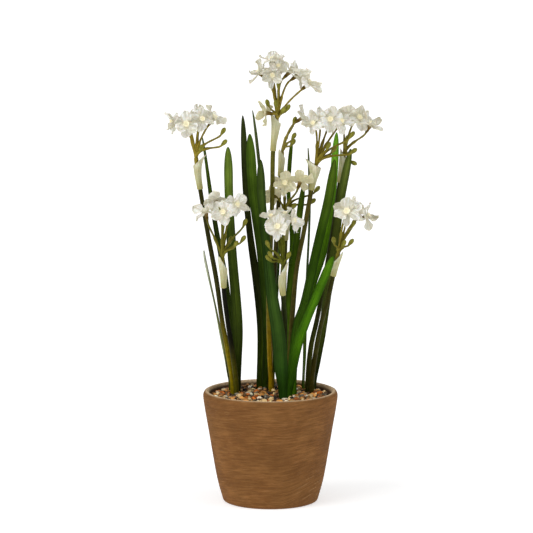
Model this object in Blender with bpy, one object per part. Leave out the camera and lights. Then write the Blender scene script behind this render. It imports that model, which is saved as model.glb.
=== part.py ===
"""Potted paperwhite narcissus: a clay-brown pot of gravel with nine flower stems and fifteen strap leaves.

Axes: +Z up, -Y towards the viewer of the photograph, origin at the middle of the pot's base.
"""

import math
import random

import bpy
import numpy as np

# Every size and place below is in millimetres, and the mesh is built in metres.
MM = 0.001

# Pot
POT_HEIGHT = 125.0
RIM_RADIUS = 75.0
BASE_RADIUS = 50.5
WALL = 6.6
FLOOR_TOP = 7.0
POT_SIDES = 30

# Gravel fill
GRAVEL_TOP = 118.5
PEBBLE_SIZE = 10.0
PEBBLE_RELIEF = 1.5
CLEARANCE = 0.3
HOLE_FLOOR = 88.0
STRAIGHT_TOP = 121.5

# Leaves
LEAF_STEPS = 6
LEAF_THICKNESS = 1.2
LEAF_EDGE = 0.7
LEAF_CHANNEL = 0.9
FOOT_THICKNESS = 2.2

# Flower stems
STEM_FOOT_RADIUS = 2.9
STEM_TOP_RADIUS = 2.4
STEM_SIDES = 6
STEM_STEPS = 5
PEDICEL_RADIUS = 1.5
OVARY_RADIUS = 2.1
OVARY_LENGTH = 5.0
BUD_RADIUS = 2.5
BUD_LENGTH = 10.5

# Papery sheath below each head
SHEATH_WALL = 0.7

# Florets
FLORET_RADIUS = 12.8
TEPAL_THICKNESS = 0.7
TEPAL_CURL = 1.3
LAYER_STEP = 0.9
TUBE_LENGTH = 6.5
TUBE_RADIUS = 1.4
CUP_HEIGHT = 3.4
CUP_RADIUS = 3.9

# Leaves: foot (x, y), width low and high up, facing at the foot and the tip in degrees
# (0 is the viewer's side, 90 the right), then points on the middle line up to the tip.
LEAVES = {
    "leaf_thin_left": ((-46, 28), (5, 4), (-80, -70), [
        (-49, 25, 153), (-56, 21, 192), (-66, 16, 241), (-74, 10, 281)]),
    "leaf_round_left": ((-38, 21), (12, 10), (0, 10), [
        (-38, 17, 154), (-37, 14, 190), (-39, 12, 230), (-43, 10, 281), (-46, 8, 338), (-47, 6, 397)]),
    "leaf_narrow_left": ((-37, 29), (9, 6), (0, 60), [
        (-39, 27, 152), (-46, 26, 200), (-53, 24, 257), (-61, 22, 302), (-68, 20, 347), (-76, 18, 408)]),
    "leaf_tall_dark": ((-12, 46), (9.5, 7), (0, 20), [
        (-10, 46, 162), (-11, 46, 197), (-16, 44, 243), (-23, 42, 294), (-28, 40, 347), (-31, 40, 429)]),
    "leaf_tall_green": ((-6, 36), (8, 11), (10, 0), [
        (-4, 36, 164), (-6, 34, 210), (-10, 30, 273), (-16, 26, 319), (-20, 24, 352), (-23, 22, 410)]),
    "leaf_tall_thin": ((-5, 55), (7, 6), (40, 75), [
        (-6, 56, 161), (-6, 54, 218), (-7, 52, 287), (-12, 50, 355), (-16, 48, 395), (-20, 46, 434)]),
    "leaf_front_dark": ((14, -20), (15, 9.5), (0, -10), [
        (12, -24, 152), (9, -25, 191), (2, -20, 235), (-3, -14, 279), (-9, -8, 334), (-11, -4, 384)]),
    "leaf_front_bright": ((20, -12), (11, 9.5), (0, -10), [
        (23, -13, 144), (30, -17, 179), (39, -21, 205), (49, -25, 230), (58, -29, 253), (69, -33, 280)]),
    "leaf_long_right": ((25, 4), (10.5, 10), (10, 0), [
        (25, 4, 156), (30, 4, 198), (39, 3, 226), (51, 0, 283), (64, -2, 339), (71, -4, 384)]),
    "leaf_pale_right": ((24, 38), (9, 8.5), (0, 0), [
        (25, 39, 152), (33, 42, 193), (48, 43, 241), (60, 43, 278), (69, 42, 338), (74, 40, 410)]),
    "leaf_far_right": ((48, 31), (9, 9), (0, -10), [
        (52, 26, 154), (58, 20, 188), (65, 12, 240), (72, 8, 290), (79, 6, 343), (89, 6, 395)]),
    "leaf_thin_right": ((37, 33), (6, 5), (60, 85), [
        (37, 31, 152), (38, 32, 199), (40.5, 34, 256), (43, 34, 318), (42, 34, 393)]),
    "leaf_back_middle": ((15, 40), (7, 5), (0, 20), [
        (18, 36, 164), (21, 38, 232), (24, 38, 289), (20, 38, 340), (21, 38, 373), (24, 38, 404)]),
    "leaf_inner_right": ((14, 21), (8, 7), (0, 10), [
        (18, 20, 166), (22, 20, 235), (29, 17, 291), (32, 12, 320), (37, 10, 357)]),
    "leaf_back_low": ((2, 53), (7, 6), (20, 40), [
        (1, 54, 161), (5, 54, 218), (7, 52, 259), (10, 50, 310)]),
}

# Flower stems: foot (x, y), points up to the place where the flower stalks part, the
# sheath as (length, side of its tip in degrees, rise of the tip, drop of the far side,
# mouth radius, lean of the tip), florets as (middle, facing, rise, size) with the angles
# in degrees, and buds as middles.
HEADS = {
    "far_left": {
        "foot": (-42, 15),
        "route": [(-48, 12, 168), (-54, 10, 202), (-60, 5, 248), (-69, 0, 299), (-78, -5, 354), (-82, -7, 386)],
        "sheath": (35, 50, 3, 11, 5.6, 2.5),
        "florets": [
            ((-92, -24, 425), 0, 15, 1.05), ((-77, -4, 436), 15, 65, 1.0), ((-75, -20, 430), 15, 25, 0.95),
            ((-62, -9, 431), 80, 55, 1.05), ((-107, -17, 427), -60, -5, 0.95)],
        "buds": [(-52, -11, 416), (-51, -8, 403), (-76, -16, 398)],
    },
    "low_left": {
        "foot": (-38, 7),
        "route": [(-42, 4, 164), (-47, -4, 199), (-51, -14, 234), (-52, -22, 256), (-53, -28, 277)],
        "sheath": (35, -60, 4, 13, 4.6, 0),
        "florets": [
            ((-71, -38, 331), -40, 68, 1.05), ((-60, -29, 341), -155, 30, 0.9),
            ((-51, -45, 331), -20, 10, 1.05), ((-37, -42, 339), 40, 5, 1.0)],
        "buds": [(-28, -28, 317), (-30, -30, 299), (-38, -36, 294), (-44, -24, 297)],
    },
    "top": {
        "foot": (1, 25),
        "route": [(-1, 18, 167), (-2, 12, 225), (0, 6, 282), (2, 2, 338), (3, 0, 394), (7, 0, 427)],
        "sheath": (34, -150, 9, 4, 5.0, 2),
        "florets": [
            ((1, 2, 492), -10, 60, 1.05), ((9, -3, 487), -5, 20, 0.75), ((2, -5, 477), 5, 15, 0.9),
            ((-13, -3, 480), -80, 40, 0.95), ((22, 2, 481), 95, 45, 1.0), ((31, 5, 477), 95, 35, 1.0),
            ((43, 3, 468), 100, 40, 1.15)],
        "buds": [(9, -4, 467), (-3, -2, 446), (6, -10, 446), (19, -4, 441), (14, -8, 439)],
        "low_floret": ((-6, -9, 436), -135, 0, 1.0),
    },
    "back": {
        "foot": (0, 41),
        "route": [(0, 40, 164), (3, 38, 221), (6, 34, 278), (9, 30, 329), (12, 28, 374), (13, 28, 389)],
        "sheath": (27, -60, 5, 8, 4.0, 0),
        "florets": [((36, 24, 428), 75, 35, 0.9)],
        "buds": [(27, 30, 424), (26, 24, 407), (25, 24, 400)],
    },
    "inner_right": {
        "foot": (20, 13),
        "route": [(22, 10, 169), (25, 9, 214), (29, 7, 259), (37, 4, 302), (46, 2, 353), (50, 2, 376)],
        "sheath": (27, -90, 8, 1, 5.5, 7),
        "florets": [
            ((47, -7, 424), -20, 40, 0.9), ((56, -2, 431), 10, 70, 0.95),
            ((66, -8, 429), 0, 15, 1.0), ((78, -4, 426), 20, 35, 0.95)],
        "buds": [(64, -2, 399), (90, 0, 411), (92, 0, 393), (70, 4, 394)],
    },
    "far_right": {
        "foot": (42, 23),
        "route": [(45, 22, 167), (53, 22, 205), (62.5, 21, 258), (70, 19, 303), (77, 16, 356), (82, 14, 390)],
        "sheath": (34, -90, 4, 8, 4.3, 0),
        "florets": [
            ((87, 12, 431), 150, 30, 0.9), ((98, 11, 429), 30, 30, 1.0), ((111, 9, 422), 70, 60, 1.1)],
        "buds": [(85, 5, 406), (92, 8, 379)],
    },
    "middle": {
        "foot": (12, 31),
        "route": [(13, 31, 166), (15, 30, 223), (16, 27, 269), (17, 20, 303), (16, 14, 324)],
        "sheath": (34, -20, 4, 8, 5.1, 0.5),
        "florets": [
            ((16, 2, 357), 0, 20, 0.95), ((33, -3, 360), 150, 55, 1.0)],
        "buds": [(26, 6, 331), (47, 26, 334), (52, 22, 348)],
        "low_floret": ((3, 18, 341), -160, 0, 0.8),
    },
    "front": {
        "foot": (16, -1),
        "route": [(16, -6, 171), (16, -11, 206), (14, -17, 232), (13, -22, 252), (14, -25, 268)],
        "sheath": (34, 65, 6, 12, 4.6, 1),
        "florets": [
            ((8, -44, 313), -10, 30, 1.1), ((27, -37, 318), 50, 20, 0.95),
            ((1, -31, 324), -30, 60, 0.85), ((16, -29, 327), 20, 75, 0.7)],
        "buds": [(-3, -34, 294), (0, -32, 282), (-2, -26, 277), (20, -30, 281)],
    },
    "low_right": {
        "foot": (46, 14),
        "route": [(51, 8, 169), (57, 3, 201), (64, -2, 228), (69, -7, 252), (75, -10, 280)],
        "sheath": (26, 75, 3, 12, 4.3, 0),
        "florets": [
            ((84, -27, 329), -5, 25, 1.15), ((94, -17, 332), 90, 40, 1.0), ((107, -13, 322), 75, 20, 1.05)],
        "buds": [(92, -10, 314), (89, -12, 293), (81, -16, 292), (70, -14, 295)],
    },
}

# Colours (red, green, blue) and roughness
POT_COLOUR = ((0.26, 0.125, 0.045), 0.85)
GRAVEL_COLOUR = ((0.35, 0.24, 0.15), 0.6)
LEAF_COLOUR = ((0.035, 0.085, 0.012), 0.45)
BRIGHT_LEAF_COLOUR = ((0.06, 0.17, 0.015), 0.45)
STEM_COLOUR = ((0.09, 0.08, 0.012), 0.5)
SHEATH_COLOUR = ((0.55, 0.53, 0.3), 0.7)
FLORET_COLOUR = ((0.85, 0.85, 0.8), 0.6)
BRIGHT_LEAVES = ("leaf_front_bright", "leaf_pale_right", "leaf_back_middle", "leaf_back_low")


def clear_scene():
    for thing in list(bpy.data.objects):
        bpy.data.objects.remove(thing)


def make_material(name, look):
    colour, roughness = look
    material = bpy.data.materials.new(name)
    material.use_nodes = True
    shader = material.node_tree.nodes["Principled BSDF"]
    shader.inputs["Base Color"].default_value = (*colour, 1.0)
    shader.inputs["Roughness"].default_value = roughness
    shader.inputs["Metallic"].default_value = 0.0
    return material


def unit(vector):
    vector = np.asarray(vector, float)
    return vector / np.linalg.norm(vector)


def compass(degrees):
    """Level direction: 0 is towards the viewer, 90 to the right."""
    angle = math.radians(degrees)
    return np.array([math.sin(angle), -math.cos(angle), 0.0])


def outward(points, faces):
    """The same shape with its faces turned so that it encloses a positive volume."""
    points = np.asarray(points, float)
    volume = 0.0
    for face in faces:
        for second, third in zip(face[1:-1], face[2:]):
            volume += np.dot(points[face[0]], np.cross(points[second], points[third]))
    if volume < 0:
        faces = [tuple(reversed(face)) for face in faces]
    return points, faces


def bands(count, sides, wrap):
    """Quads between neighbouring rings, and from the last ring to the first if it wraps."""
    faces = []
    for ring in range(count if wrap else count - 1):
        after = (ring + 1) % count
        for side in range(sides):
            step = (side + 1) % sides
            faces.append((ring * sides + side, ring * sides + step, after * sides + step, after * sides + side))
    return faces


def loft(rings, start=None, end=None):
    """Closed skin over the rings, its ends flat or drawn to a point."""
    sides = len(rings[0])
    points = [point for ring in rings for point in ring]
    faces = bands(len(rings), sides, False)
    last = (len(rings) - 1) * sides
    for apex, first in ((start, 0), (end, last)):
        if apex is None:
            cap = tuple(range(first, first + sides))
            faces.append(tuple(reversed(cap)) if first == 0 else cap)
            continue
        points.append(apex)
        for side in range(sides):
            a, b = first + side, first + (side + 1) % sides
            faces.append((b, a, len(points) - 1) if first == 0 else (a, b, len(points) - 1))
    return outward(points, faces)


def sleeve(rings):
    """Closed skin that runs through the rings and back to the first, as a tube's wall does."""
    points = [point for ring in rings for point in ring]
    return outward(points, bands(len(rings), len(rings[0]), True))


def add_object(name, shape, material):
    points, faces = shape
    mesh = bpy.data.meshes.new(name)
    mesh.from_pydata((np.asarray(points) * MM).tolist(), [], faces)
    mesh.materials.append(material)
    thing = bpy.data.objects.new(name, mesh)
    bpy.context.scene.collection.objects.link(thing)
    return thing


def combine(base, shapes, operation):
    """Adds the shapes to the base object, or cuts them from it, and applies the result."""
    group = bpy.data.collections.new(base.name + "_tools")
    bpy.context.scene.collection.children.link(group)
    for number, shape in enumerate(shapes):
        tool = add_object(f"{base.name}_tool_{number}", shape, base.data.materials[0])
        bpy.context.scene.collection.objects.unlink(tool)
        group.objects.link(tool)
    modifier = base.modifiers.new("combine", "BOOLEAN")
    modifier.operand_type = "COLLECTION"
    modifier.collection = group
    modifier.operation = operation
    modifier.solver = "MANIFOLD"
    graph = bpy.context.evaluated_depsgraph_get()
    result = bpy.data.meshes.new_from_object(base.evaluated_get(graph))
    base.modifiers.clear()
    base.data = result
    for tool in list(group.objects):
        bpy.data.objects.remove(tool)
    bpy.data.collections.remove(group)


def fuse(name, shapes, material):
    base = add_object(name, shapes[0], material)
    if len(shapes) > 1:
        combine(base, shapes[1:], "UNION")
    return base


def curve_through(points, first_direction, per_span=12):
    """Smooth dense line through the points, leaving the first in the given direction."""
    points = np.asarray(points, float)
    slopes = np.empty_like(points)
    slopes[1:-1] = (points[2:] - points[:-2]) / 2
    slopes[0] = unit(first_direction) * np.linalg.norm(points[1] - points[0])
    slopes[-1] = points[-1] - points[-2]
    line = []
    for i in range(len(points) - 1):
        for t in np.linspace(0, 1, per_span, endpoint=False):
            a, b = 2 * t**3 - 3 * t**2 + 1, t**3 - 2 * t**2 + t
            c, d = 3 * t**2 - 2 * t**3, t**3 - t**2
            line.append(a * points[i] + b * slopes[i] + c * points[i + 1] + d * slopes[i + 1])
    line.append(points[-1])
    return np.array(line)


def along(line, lengths):
    """Points of the line at these distances from its start."""
    steps = np.linalg.norm(np.diff(line, axis=0), axis=1)
    travelled = np.concatenate([[0.0], np.cumsum(steps)])
    return np.array([[np.interp(s, travelled, line[:, axis]) for axis in range(3)] for s in lengths])


def length_of(line):
    return np.linalg.norm(np.diff(line, axis=0), axis=1).sum()


def directions(line):
    """Direction of travel at each point of the line."""
    ahead = np.gradient(np.asarray(line, float), axis=0)
    return np.array([unit(step) for step in ahead])


def grown_line(foot, route):
    """The line of a leaf or stem above the gravel, which it leaves upright."""
    start = (*foot, STRAIGHT_TOP)
    return curve_through([start, *route], (0, 0, 1))


def tube_rings(line, radii, sides):
    """Rings square to the line, turned as little as possible from one to the next."""
    ahead = directions(line)
    across = unit(np.cross(ahead[0], compass(0))) if abs(ahead[0][1]) < 0.9 else np.array([1.0, 0.0, 0.0])
    rings = []
    for point, direction, radius in zip(line, ahead, radii):
        across = unit(across - direction * np.dot(across, direction))
        other = np.cross(direction, across)
        angles = [2 * math.pi * side / sides for side in range(sides)]
        rings.append([point + radius * (across * math.cos(a) + other * math.sin(a)) for a in angles])
    return rings


def leaf_section(point, direction, facing, width, thickness, edge, channel):
    """Six points round a leaf: its edges stand forward of its middle by the channel."""
    face = compass(facing)
    face = unit(face - direction * np.dot(face, direction))
    side = np.cross(direction, face)
    half = width / 2
    return [
        point - side * half + face * (channel + edge / 2),
        point + face * thickness / 2,
        point + side * half + face * (channel + edge / 2),
        point + side * half + face * (channel - edge / 2),
        point - face * thickness / 2,
        point - side * half + face * (channel - edge / 2),
    ]


def leaf_width(share, widths):
    """Width along a leaf: from the low to the high width, then in to a blunt tip at share 1."""
    low, high = widths
    blend = min(max((share - 0.25) / 0.45, 0.0), 1.0)
    full = low + (high - low) * blend * blend * (3 - 2 * blend)
    return full * math.sqrt(1 - max(share - 0.88, 0.0) ** 2 / 0.12**2)


def foot_width(widths):
    return min(widths[0] * 0.8, 9.5)


def leaf(name):
    foot, widths, (facing_foot, facing_tip), route = LEAVES[name]
    line = grown_line(foot, route)
    shares = [step / LEAF_STEPS * 0.88 for step in range(LEAF_STEPS + 1)] + [0.95, 0.985, 1.0]
    places = along(line, [share * length_of(line) for share in shares])
    ahead = directions(places)
    ahead[0] = (0, 0, 1)
    narrow = foot_width(widths)
    buried = np.array([*foot, HOLE_FLOOR + CLEARANCE])
    rings = [leaf_section(buried, ahead[0], facing_foot, narrow, FOOT_THICKNESS, 1.2, 0.0)]
    rings.append(leaf_section(places[0], ahead[0], facing_foot, narrow, FOOT_THICKNESS, 1.2, 0.0))
    for share, place, direction in list(zip(shares, places, ahead))[1:-1]:
        facing = facing_foot + (facing_tip - facing_foot) * share
        across = leaf_width(share, widths)
        channel = LEAF_CHANNEL * across / max(widths)
        rings.append(leaf_section(place, direction, facing, across, LEAF_THICKNESS, LEAF_EDGE, channel))
    return loft(rings, end=places[-1])


def stem_line(head):
    """Places along a flower stem, the last three of which carry the sheath."""
    line = grown_line(head["foot"], head["route"])
    whole = length_of(line)
    lengths = [whole * 0.0]
    lengths += [(whole - head["sheath"][0]) * (step + 1) / STEM_STEPS for step in range(STEM_STEPS)]
    lengths += [whole - head["sheath"][0] / 2, whole]
    places = along(line, lengths)
    buried = np.array([[*head["foot"], HOLE_FLOOR + CLEARANCE]])
    return np.concatenate([buried, places])


def stem_radii(count):
    return np.linspace(STEM_FOOT_RADIUS, STEM_TOP_RADIUS, count)


def facing_of(azimuth, rise):
    level = compass(azimuth) * math.cos(math.radians(rise))
    return level + np.array([0.0, 0.0, math.sin(math.radians(rise))])


def bent(start, start_pull, end_pull, end, shares):
    """Points of a cubic curve pulled by the two points between its ends."""
    return [
        (1 - t) ** 3 * start + 3 * (1 - t) ** 2 * t * start_pull + 3 * (1 - t) * t**2 * end_pull + t**3 * end
        for t in shares
    ]


def pedicel(hub, up, floret):
    """Flower stalk from the hub to the back of a floret, swelling into the ovary."""
    middle, azimuth, rise, size = floret
    facing = facing_of(azimuth, rise)
    ovary_top = np.array(middle) - facing * (TUBE_LENGTH * size + CLEARANCE)
    ovary_foot = ovary_top - facing * OVARY_LENGTH
    reach = np.linalg.norm(ovary_foot - hub)
    start = hub - up * 4
    pull = up * (3 + reach * 0.22)
    line = bent(start, hub + pull, ovary_foot - facing * reach * 0.2, ovary_foot, (0, 0.5, 1))
    line += [ovary_foot + facing * OVARY_LENGTH * 0.6, ovary_top]
    radii = [PEDICEL_RADIUS * 1.2, PEDICEL_RADIUS, PEDICEL_RADIUS * 1.1, OVARY_RADIUS, TUBE_RADIUS]
    return loft(tube_rings(line, radii, 5))


def bud(hub, up, middle):
    """Closed bud on its stalk."""
    middle = np.array(middle, float)
    away = unit(middle - hub)
    lean = unit(away + up * 0.4)
    foot = middle - lean * BUD_LENGTH / 2
    reach = np.linalg.norm(foot - hub)
    pull = up * (6 + reach * 0.3)
    line = bent(hub - up * 4, hub + pull, foot - lean * reach * 0.2, foot, (0, 0.5, 1))
    line += [middle, middle + lean * BUD_LENGTH * 0.4]
    rings = tube_rings(line, [PEDICEL_RADIUS, PEDICEL_RADIUS * 0.85, PEDICEL_RADIUS, BUD_RADIUS, 1.2], 5)
    return loft(rings, end=middle + lean * BUD_LENGTH / 2)


def florets_of(head):
    low = head.get("low_floret")
    return head["florets"] + ([low] if low else [])


def stem(head):
    line = stem_line(head)
    hub = line[-1]
    up = unit(line[-1] - line[-2])
    shapes = [loft(tube_rings(line, stem_radii(len(line)), STEM_SIDES))]
    shapes += [pedicel(hub, up, floret) for floret in florets_of(head)]
    shapes += [bud(hub, up, middle) for middle in head["buds"]]
    return shapes


def sheath(head):
    """Papery sleeve round the top of the stem, its mouth drawn up to a tip on one side."""
    line = stem_line(head)
    radii = stem_radii(len(line))
    cores = tube_rings(line, radii, STEM_SIDES)[-3:]
    centres = line[-3:]
    up = directions(line)[-1]
    _, side, rise, drop, mouth, lean = head["sheath"]
    inner_radii = [radii[-3] + CLEARANCE + 0.05, radii[-2] + 0.8, mouth]
    tip = compass(side)
    inner, outer = [], []
    for core, centre, radius, share in zip(cores, centres, inner_radii, (0.0, 0.5, 1.0)):
        inside, outside = [], []
        for corner in core:
            way = unit(corner - centre)
            reach = (1 + np.dot(unit(way * (1, 1, 0)), tip)) / 2
            lift = up * ((rise + drop) * reach**1.5 - drop) * share
            flare = tip * lean * reach**2 * share**5
            inside.append(centre + way * radius + lift + flare)
            outside.append(centre + way * (radius + SHEATH_WALL) + lift + flare)
        inner.append(inside)
        outer.append(outside)
    return sleeve(outer + inner[::-1])


def whorl_edge(turn, height, curl, radius):
    """Edge of three tepals: a notch, a shoulder, the tip and the other shoulder of each."""
    edge = []
    for petal in range(3):
        for offset, share in ((-60, 0.34), (-27, 0.8), (0, 1.0), (27, 0.8)):
            angle = math.radians(turn + petal * 120 + offset)
            lift = height + curl * share**2
            edge.append((radius * share * math.cos(angle), radius * share * math.sin(angle), lift))
    return edge


def ring_of(radius, height, sides):
    angles = [2 * math.pi * side / sides for side in range(sides)]
    return [(radius * math.cos(a), radius * math.sin(a), height) for a in angles]


def fan_bands(rings):
    """Faces between rings of six and twelve points, where a twelve has two points to each of six."""
    faces, first = [], 0
    for here, after in zip(rings, rings[1:]):
        second = first + len(here)
        if len(here) == len(after):
            for side in range(len(here)):
                step = (side + 1) % len(here)
                faces.append((first + side, first + step, second + step, second + side))
        else:
            wide, narrow = (second, first) if len(here) < len(after) else (first, second)
            for side in range(6):
                step = (side + 1) % 6
                near, middle, far = wide + 2 * side, wide + 2 * side + 1, wide + (2 * side + 2) % 12
                fan = [(narrow + side, middle, near), (narrow + side, narrow + step, middle),
                       (narrow + step, far, middle)]
                faces += fan if wide == second else [tuple(reversed(face)) for face in fan]
        first = second
    return faces


def floret(place):
    """One floret as a single skin: tube, lower and upper layer of three tepals, and the open cup."""
    middle, azimuth, rise, size = place
    radius, curl, cup = FLORET_RADIUS * size, TEPAL_CURL * size, CUP_RADIUS * size
    low, high = -LAYER_STEP - TEPAL_THICKNESS, -TEPAL_THICKNESS
    rings = [
        ring_of(TUBE_RADIUS, -TUBE_LENGTH * size, 6),
        ring_of(2.2 * size, low - 0.4, 6),
        whorl_edge(60, low, -curl, radius),
        whorl_edge(60, low + TEPAL_THICKNESS, -curl, radius),
        ring_of(2.4 * size, high - 0.1, 6),
        whorl_edge(0, high, curl, radius),
        whorl_edge(0, 0.0, curl, radius),
        ring_of(cup * 0.75, 0.3, 6),
        ring_of(cup, CUP_HEIGHT * size, 6),
        ring_of(cup - 0.9, CUP_HEIGHT * size, 6),
        ring_of(cup * 0.5, 0.8, 6),
    ]
    faces = fan_bands(rings)
    points = np.array([point for ring in rings for point in ring])
    faces += [tuple(range(5, -1, -1)), tuple(range(len(points) - 6, len(points)))]
    facing = facing_of(azimuth, rise)
    side = unit(np.cross((0.0, 0.0, 1.0), facing))
    frame = np.array([np.cross(facing, side), -side, facing])
    return outward(points @ frame + np.array(middle), faces)


def pot():
    """Turned pot: a rounded foot, a side that swells to the rim, a rounded lip and a plain inside."""
    outside = [
        (BASE_RADIUS - 1, 0), (BASE_RADIUS + 2.4, 1.6), (BASE_RADIUS + 4, 7), (58, 19), (61.6, 36),
        (69, 80), (72.8, 102), (RIM_RADIUS, 118), (74.2, 123)]
    lip = [(71.6, POT_HEIGHT), (RIM_RADIUS - WALL, 122.5)]
    inside = [(67.4, 112), (48, 9), (45, FLOOR_TOP)]
    rings = [ring_of(radius, height, POT_SIDES) for radius, height in outside + lip + inside]
    return loft(rings)


def gravel():
    """Gravel fill with a pebbly top, a hair smaller than the pot's inside."""
    rng = random.Random(7)
    sides = [(44.6, FLOOR_TOP + CLEARANCE), (47.6, 9.2), (66.9, 111.6), (67.0, GRAVEL_TOP - 1.2)]
    rings = [ring_of(radius, height, POT_SIDES) for radius, height in sides]
    radius = 62.5
    while radius > 5:
        ring = []
        for number, (x, y, z) in enumerate(ring_of(radius, GRAVEL_TOP, POT_SIDES)):
            high = PEBBLE_RELIEF if (number // 2 + len(rings)) % 2 else -PEBBLE_RELIEF
            ring.append((x, y, z + high * rng.uniform(0.3, 1.0)))
        rings.append(ring)
        radius -= PEBBLE_SIZE
    return loft(rings, end=(0, 0, GRAVEL_TOP))


def leaf_hole(name):
    foot, widths, (facing, _), _ = LEAVES[name]
    half, deep = foot_width(widths) / 2 + 0.45, FOOT_THICKNESS / 2 + 0.4
    face, side = compass(facing), compass(facing + 90)
    corners = ((-1, -0.65), (0, -1.05), (1, -0.65), (1, 0.65), (0, 1.05), (-1, 0.65))
    rings = []
    for height in (HOLE_FLOOR, GRAVEL_TOP + 8):
        middle = np.array([*foot, height])
        rings.append([middle + side * half * a + face * deep * b for a, b in corners])
    return loft(rings)


def stem_hole(head):
    rings = []
    for height in (HOLE_FLOOR, GRAVEL_TOP + 8):
        ring = np.array(ring_of(STEM_FOOT_RADIUS + 0.6, height, 8))
        rings.append(list(ring + np.array([*head["foot"], 0.0])))
    return loft(rings)


def build():
    clear_scene()
    leaf_green = make_material("leaf_green", LEAF_COLOUR)
    bright_green = make_material("bright_leaf_green", BRIGHT_LEAF_COLOUR)
    stem_olive = make_material("stem_olive", STEM_COLOUR)
    sheath_cream = make_material("sheath_cream", SHEATH_COLOUR)
    floret_white = make_material("floret_white", FLORET_COLOUR)
    add_object("pot", pot(), make_material("pot_clay_brown", POT_COLOUR))
    fill = add_object("gravel", gravel(), make_material("gravel_mixed", GRAVEL_COLOUR))
    holes = [leaf_hole(name) for name in LEAVES] + [stem_hole(head) for head in HEADS.values()]
    combine(fill, holes, "DIFFERENCE")
    for name in LEAVES:
        add_object(name, leaf(name), bright_green if name in BRIGHT_LEAVES else leaf_green)
    for place, head in HEADS.items():
        fuse("stem_" + place, stem(head), stem_olive)
        add_object("sheath_" + place, sheath(head), sheath_cream)
        fuse("florets_" + place, [floret(item) for item in head["florets"]], floret_white)
        if "low_floret" in head:
            add_object("floret_low_" + place, floret(head["low_floret"]), floret_white)


build()
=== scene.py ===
"""Potted paperwhite narcissus: a brushed clay pot of pebbles with strap leaves and nine flower stems.

Sizes and places are in millimetres and become metres when a mesh is made. -Y is the viewer's side
of the photograph, +X the viewer's right, and the pot stands on Z = 0.
"""

import math
import random

import bpy
import numpy as np
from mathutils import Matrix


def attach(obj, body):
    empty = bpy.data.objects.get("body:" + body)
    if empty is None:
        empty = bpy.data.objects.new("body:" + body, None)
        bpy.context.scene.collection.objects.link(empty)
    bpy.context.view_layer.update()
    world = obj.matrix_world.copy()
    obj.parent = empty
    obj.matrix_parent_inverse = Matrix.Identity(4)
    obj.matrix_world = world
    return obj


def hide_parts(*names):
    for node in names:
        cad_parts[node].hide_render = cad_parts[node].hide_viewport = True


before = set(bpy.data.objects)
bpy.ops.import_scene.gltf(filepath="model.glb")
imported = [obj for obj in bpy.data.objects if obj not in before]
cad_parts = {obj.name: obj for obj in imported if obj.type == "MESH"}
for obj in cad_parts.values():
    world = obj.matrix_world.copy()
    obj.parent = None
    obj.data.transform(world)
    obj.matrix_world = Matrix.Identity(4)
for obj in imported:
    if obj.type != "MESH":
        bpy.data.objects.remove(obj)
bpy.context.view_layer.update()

MM = 0.001

# Pot profile as (radius, height)
POT_OUTSIDE = [
    (50.0, 0.0), (52.9, 1.6), (54.6, 7.0), (58.0, 19.0), (61.6, 36.0), (69.0, 80.0), (72.8, 102.0),
    (75.0, 117.0), (74.8, 121.5), (73.4, 124.2)]
POT_LIP = [(71.4, 125.0), (69.4, 124.2), (68.4, 122.0)]
POT_INSIDE = [(67.5, 112.0), (48.0, 9.0), (45.0, 7.0)]
POT_SIDES = 288
BRUSH_DEPTH = 0.16
RIDGE_HEIGHT = 0.3
BRUSH_STARTS = (2, 8)
BRUSH_ENDS = (114, 121)
BRUSH_DIP = 8.0
BRUSH_CLIMB = (15.0, 5.0)

# Gravel
GRAVEL_RADIUS = 66.6
GRAVEL_BED = 116.5
PEBBLE_TOP = 121.1
PEBBLE_SIZES = (2.2, 4.0)
PEBBLE_TRIES = 9000
PEBBLE_UNEVENNESS = 0.9
PEBBLE_DARKEST = 0.12
PEBBLE_LIGHTER = 1.2
HOLE_FLOOR = 88.3
STRAIGHT_TOP = 121.5

# Layers of pebbles as (how far down they lie, how near they come, how finely they are cut)
PEBBLE_LAYERS = ((3.0, 0.98, 1), (0.0, 0.84, 2))
BED_PROFILE = [
    (44.6, 7.3), (47.6, 9.3), (66.7, 111.0), (66.7, GRAVEL_BED), (30.0, GRAVEL_BED), (2.0, GRAVEL_BED)]

# Leaves
LEAF_THICKNESS = 1.15
LEAF_EDGE = 0.45
LEAF_CHANNEL = 1.7
LEAF_COLUMNS = 21
LEAF_RIB = 0.07
TIP_START = 0.88
FOOT_THICKNESS = 2.2
FOOT_EDGE = 1.2
FOOT_SHARE = 0.8
FOOT_WIDTH_LIMIT = 9.5

# Flower stems, stalks and buds
STEM_FOOT_RADIUS = 2.9
STEM_TOP_RADIUS = 2.4
STALK_SLEEVE = 1.6
STALK_RADIUS = 1.1
OVARY_RADIUS = 2.0
OVARY_LENGTH = 5.0
BUD_RADIUS = 2.15
BUD_LENGTH = 9.3
STEM_RINGS = 72
STEM_SIDES = 16
STALK_SIDES = 12
HUB_DEPTH = 4

# How far a stalk rises from the hub before it turns: a base and a share of its reach
STALK_LIFT = (3, 0.22)
BUD_LIFT = (6, 0.3)

# Papery sheath below each head
SHEATH_WALL = 0.45
SHEATH_ROOM = 0.4
SHEATH_STATIONS = 18
SHEATH_SIDES = 36

# Florets
FLORET_RADIUS = 13.8
TEPAL_THICKNESS = 0.4
POINTED_TEPALS = 0.26
TEPAL_FOOT = 0.15
WIDEST = 0.58
TUBE_LENGTH = 6.5
CALYX_RADIUS = 2.6
CUP_HEIGHT = 2.9
CUP_RADIUS = 3.3
CUP_SIDES = 30
ANTHER_SIZE = (0.36, 0.36, 0.8)

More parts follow.
